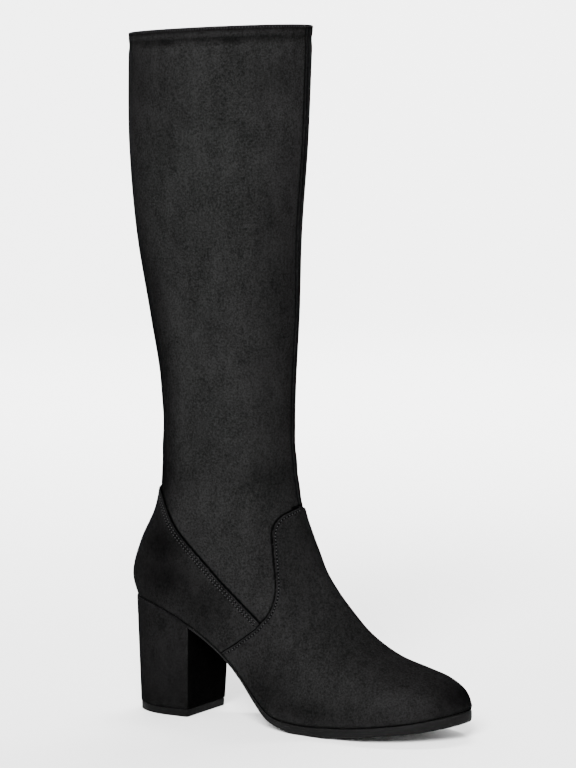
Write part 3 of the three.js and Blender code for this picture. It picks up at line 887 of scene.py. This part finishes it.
def make_stitches():
    """The rows along the vamp's edge and seam, the two rows of the counter and the collar's. The
    rows stop just short of the ridge, the back, the sole and the vamp."""
    rows = []
    ridge_gap = 0.004
    vamp_row = finely(offset_line(VAMP_LINE, VAMP_STITCHES[0]))
    vamp_row = vamp_row[vamp_row[:, 1] > feather_z(vamp_row[:, 0]) + 3]
    place, angle = seat(vamp_row[:, 0], vamp_row[:, 1])
    on = angle > ridge_gap
    for side in (-1, 1):
        rows.append(stitch_run(place[on], side * angle[on], *VAMP_SEWING))
    for inset in COUNTER_STITCHES:
        line = finely(offset_line(COUNTER_TOP, -inset))
        line = line[vamp_inset(np.column_stack([line[:, 0], line[:, 0], line[:, 1]])) < -1.6]
        place, angle = seat(line[:, 0], line[:, 1])
        on = angle < math.pi - ridge_gap
        for side in (-1, 1):
            rows.append(stitch_run(place[on], side * angle[on], *COUNTER_SEWING))
    round_collar = np.linspace(-np.pi, np.pi, 721)
    rows.append(stitch_run(np.full(len(round_collar), COLLAR_STITCHES), round_collar, *COLLAR_SEWING))
    stitches = bmesh.new()
    for row in rows:
        kept = bpy.data.meshes.new("stitch_row")
        row.to_mesh(kept)
        row.free()
        stitches.from_mesh(kept)
        bpy.data.meshes.remove(kept)
    finished("stitches", stitches, [THREAD, NEEDLE_HOLE_SHADE], [])


make_stitches()


# Outsole and insole.
def stations(count, start_x=None):
    """Points of the feather line from the back of the heel to the toe: x, outer y and inner y."""
    reached = TABLE_PLACES[TABLE_CUTS < np.pi]
    u = np.linspace(0, 1, 4000)
    place = reached[0] + (reached[-1] - reached[0]) * (0.5 - 0.5 * np.cos(np.pi * u))
    cut = cut_angles(place)
    outer, inner = form_points(place, -cut), form_points(place, cut)
    if start_x is not None:
        keep = outer[:, 0] >= start_x
        outer, inner = outer[keep], inner[keep]
    moved = np.linalg.norm(np.diff(outer, axis=0), axis=1)
    run = np.concatenate([[0], np.cumsum(moved)])
    at = np.linspace(0, run[-1], count + 1)
    pick = lambda values: np.interp(at, run, values)
    return pick(outer[:, 0]), pick(outer[:, 1]), pick(inner[:, 1])


def outline(count, start_x):
    """The plan from the outer breast round the toe to the inner breast, its outward normals, and how
    far along the foot each point lies."""
    x, outer, inner = stations(count, start_x)
    plan = np.vstack([np.stack([x, outer], -1), np.stack([x, inner], -1)[::-1][1:]])
    d = np.gradient(plan, axis=0)
    d /= np.linalg.norm(d, axis=1, keepdims=True)
    normal = np.stack([d[:, 1], -d[:, 0]], -1)
    share = smoothstep(plan[:, 0], 95, 235)
    return plan, normal, share


def strip(bm, rings):
    """A grid through rings of equal length, given as arrays of points."""
    rings = np.array(rings)
    rows, columns = rings.shape[0] - 1, rings.shape[1] - 1
    made = bmesh.ops.create_grid(bm, x_segments=columns, y_segments=rows, size=1)["verts"]
    for v in made:
        i = round((v.co.y + 1) / 2 * rows)
        j = round((v.co.x + 1) / 2 * columns)
        v.co = world(rings[i][j])
    return made


def raised(plan, height):
    return np.column_stack([plan, height(plan[:, 0])])


def make_outsole():
    """The sole from the heel's breast to the toe: its edge round the plan, then its top and its
    under side. Columns of the edge's profile: inset in mm, share of the thickness down."""
    breast = HEEL_BREAST + GAP + 2.6
    plan, normal, share = outline(110, breast)
    margin = (SOLE_MARGIN_SHANK + SOLE_MARGIN_GROWTH * share)[:, None]
    top = lambda x: feather_z(x) - GAP
    thick = lambda x: top(x) - sole_bottom_z(x)
    bm = bmesh.new()
    profile = [(0.35, 0.0), (0.0, 0.12), (0.0, 0.5), (0.0, 0.72), (0.28, 0.88), (0.8, 0.97), (1.6, 1.0)]
    rings = []
    for inset, down in profile:
        ring = plan + normal * (margin - inset)
        rings.append(raised(ring, lambda x, d=down: top(x) - d * thick(x)))
    strip(bm, rings)
    half = len(plan) // 2
    for ring, height in ((rings[0], top), (rings[-1], sole_bottom_z)):
        outer, inner = ring[:half + 1], ring[half:][::-1]
        across = [raised((outer + (inner - outer) * t)[:, :2], height) for t in np.linspace(0, 1, 9)]
        across[0], across[-1] = outer, inner
        strip(bm, across)
    bmesh.ops.remove_doubles(bm, verts=bm.verts, dist=5e-6)
    bmesh.ops.holes_fill(bm, edges=[e for e in bm.edges if e.is_boundary], sides=0)
    bmesh.ops.dissolve_degenerate(bm, edges=bm.edges, dist=1e-7)
    bmesh.ops.recalc_face_normals(bm, faces=bm.faces)
    finished("outsole_rubber", bm, [SOLE_RUBBER], ["outsole"])


def make_insole():
    """The sock on its board, inside the upper along the whole foot."""
    x, outer, inner = stations(90)
    inset = OVERLAY_STEP + FOOT_WALL + INSOLE_SIDE_GAP
    keep = (inner - outer) > 2 * inset + 4
    x, outer, inner = x[keep], outer[keep] + inset, inner[keep] - inset
    bm = bmesh.new()
    rows = []
    for t in np.linspace(0, 1, 13):
        y = outer + (inner - outer) * t
        rows.append(np.column_stack([x, y, feather_z(x) + INSOLE_THICKNESS - 0.02]))
    strip(bm, rows)
    bmesh.ops.recalc_face_normals(bm, faces=bm.faces)
    if sum(f.normal.z for f in bm.faces) < 0:
        bmesh.ops.reverse_faces(bm, faces=bm.faces)
    bmesh.ops.solidify(bm, geom=bm.faces[:], thickness=(INSOLE_THICKNESS - 0.1) / 1000)
    if bm.calc_volume(signed=True) < 0:
        bmesh.ops.reverse_faces(bm, faces=bm.faces)
    finished("insole_sock", bm, [SOCK], ["insole"])


make_outsole()
make_insole()


# Heel and lift.
def heel_ring(z, inset):
    """The heel's plan at a height: straight sides from the breast, round at the back."""
    half = HEEL_HALF_WIDTH + HEEL_SIDE_FLARE * z - inset
    breast = HEEL_BREAST + HEEL_BREAST_LEAN * z - inset
    back = HEEL_BACK - HEEL_BACK_LEAN * z + inset
    corner = HEEL_CORNER
    turn = np.linspace(0, np.pi / 2, 7)
    right = [(breast - corner + corner * math.cos(a), half - corner + corner * math.sin(a)) for a in turn]
    sides = [(x, half) for x in np.linspace(breast - corner, HEEL_ROUND_FROM, 6)[1:-1]]
    round_back = [(HEEL_ROUND_FROM + (HEEL_ROUND_FROM - back) * math.cos(a), half * math.sin(a))
                  for a in np.linspace(np.pi / 2, 3 * np.pi / 2, 73)]
    left = [(x, -y) for x, y in reversed(right)]
    face = [(breast, y) for y in np.linspace(-half + corner, half - corner, 12)[1:]]
    return np.array(right + sides + round_back + [(x, -y) for x, y in reversed(sides)] + left + face)


def make_block(levels, height):
    """A closed block from its plan at each level, given as a height in mm and an inset."""
    bm = bmesh.new()
    strip(bm, [raised(heel_ring(z, inset), lambda x, z=z: height(x, z)) for z, inset in levels])
    bmesh.ops.remove_doubles(bm, verts=bm.verts, dist=2e-6)
    bmesh.ops.holes_fill(bm, edges=[e for e in bm.edges if e.is_boundary], sides=0)
    bmesh.ops.recalc_face_normals(bm, faces=bm.faces)
    return bm


def under_feather(x, z):
    """Heights rise evenly from the lift to just under the feather line."""
    low = LIFT_THICKNESS + GAP
    share = (z - low) / (HEEL_TOP - low)
    return low + share * (feather_z(x) - GAP - low)


def level_height(x, z):
    return np.full(len(x), z)


def make_heel():
    """The covered block, with rounded edges. Its painted shade is darkest on the breast, which faces away
    from any light, and lighter on the rest, where it deepens toward the lift."""
    levels = [(5.3, 0.9), (5.4, 0.45), (5.7, 0.12), (6.2, 0.0)]
    levels += [(z, 0.0) for z in np.linspace(10, 70, 16)]
    levels += [(71.2, 0.05), (71.8, 0.3), (HEEL_TOP, 0.8)]
    bm = make_block(levels, under_feather)
    shade_layer = bm.verts.layers.float.new("shade")
    # Painted shade: nearly black on the breast, lighter elsewhere and deeper toward the lift.
    for v in bm.verts:
        low = math.exp(-(((1000 * v.co.z - LIFT_THICKNESS) / 18) ** 2))
        v[shade_layer] = 0.8 if v.normal.x > 0.8 else 0.15 + 0.25 * low
    finished("heel_cover_suede", bm, [COVER_SUEDE], ["heel"])


def make_lift():
    """The hard rubber top piece that the heel treads on, a little inside the block."""
    levels = [(0.0, 0.5), (0.15, 0.15), (0.5, 0.0), (2.5, 0.0), (4.6, 0.0), (4.9, 0.12),
              (LIFT_THICKNESS, 0.4)]
    bm = make_block([(z, LIFT_INSET + inset) for z, inset in levels], level_height)
    finished("top_piece_rubber", bm, [LIFT_RUBBER], ["heel_lift"])


make_heel()
make_lift()


# Floor, light and camera.
def make_floor():
    """A plain pale studio cove, flat for 3.5 m and then curved up all round."""
    bm = bmesh.new()
    flat, bend, top = 3.5, 2, 4
    profile = [(0, 0), (0.5, 0), (1.5, 0), (flat, 0)]
    for turn in np.linspace(0.15, math.pi / 2, 10):
        profile.append((flat + bend * math.sin(turn), bend - bend * math.cos(turn)))
    profile.append((flat + bend, top))
    line = [bm.verts.new((x, 0, z)) for x, z in profile]
    edges = [bm.edges.new(pair) for pair in zip(line, line[1:])]
    bmesh.ops.spin(bm, geom=line + edges, cent=(0, 0, 0), axis=(0, 0, 1), angle=2 * math.pi, steps=64,
                   use_merge=True, use_duplicate=False)
    bmesh.ops.remove_doubles(bm, verts=bm.verts, dist=1e-5)
    bmesh.ops.recalc_face_normals(bm, faces=bm.faces)
    paper = new_material("matt_white_studio_paper", Roughness=0.9, Specular_IOR_Level=0.1,
                         Base_Color=colour("#f6f6f6"))[0]
    mesh = bpy.data.meshes.new("studio_floor")
    bm.to_mesh(mesh)
    bm.free()
    mesh.materials.append(paper)
    mesh.shade_smooth()
    floor = bpy.data.objects.new("studio_floor", mesh)
    bpy.context.scene.collection.objects.link(floor)


def turned_to(thing, aim):
    """Points a lamp or a camera at a place."""
    thing.rotation_mode = "QUATERNION"
    thing.rotation_quaternion = (Vector(aim) - thing.location).to_track_quat("-Z", "Y")
    bpy.context.scene.collection.objects.link(thing)


def soft_light(name, place, aim, size, watts):
    """A round soft lamp, with its size in metres."""
    light = bpy.data.lights.new(name, "AREA")
    light.shape = "DISK"
    light.size = size
    light.energy = watts
    lamp = bpy.data.objects.new(name, light)
    lamp.location = place
    turned_to(lamp, aim)


make_floor()
studio = bpy.data.worlds.new("studio")
bpy.context.scene.world = studio
studio.use_nodes = True
studio.node_tree.nodes["Background"].inputs["Color"].default_value = (1, 1, 1, 1)
studio.node_tree.nodes["Background"].inputs["Strength"].default_value = 0.3
# One broad lamp in front, to the toe's side and above, and one that whitens the paper behind.
soft_light("front_key", (0.95, -2.6, 1.9), (0, 0, 0.2), 1.5, 450)
soft_light("backdrop_light", (-0.6, 1.3, 3.2), (-2.2, 4.2, 0.9), 2.0, 650)

# The camera as it was worked out from the photograph's outline, in the boot's own millimetres.
CAMERA_PLACE = (1076.1, -1694.6, 401.1)
CAMERA_AIM = (111.385, 0, 218.268)
camera_data = bpy.data.cameras.new("photo_view")
camera_data.lens = 143.62
camera_data.sensor_width = 36
camera = bpy.data.objects.new("photo_view", camera_data)
camera.location = world(CAMERA_PLACE)
turned_to(camera, world(CAMERA_AIM))
bpy.context.scene.camera = camera
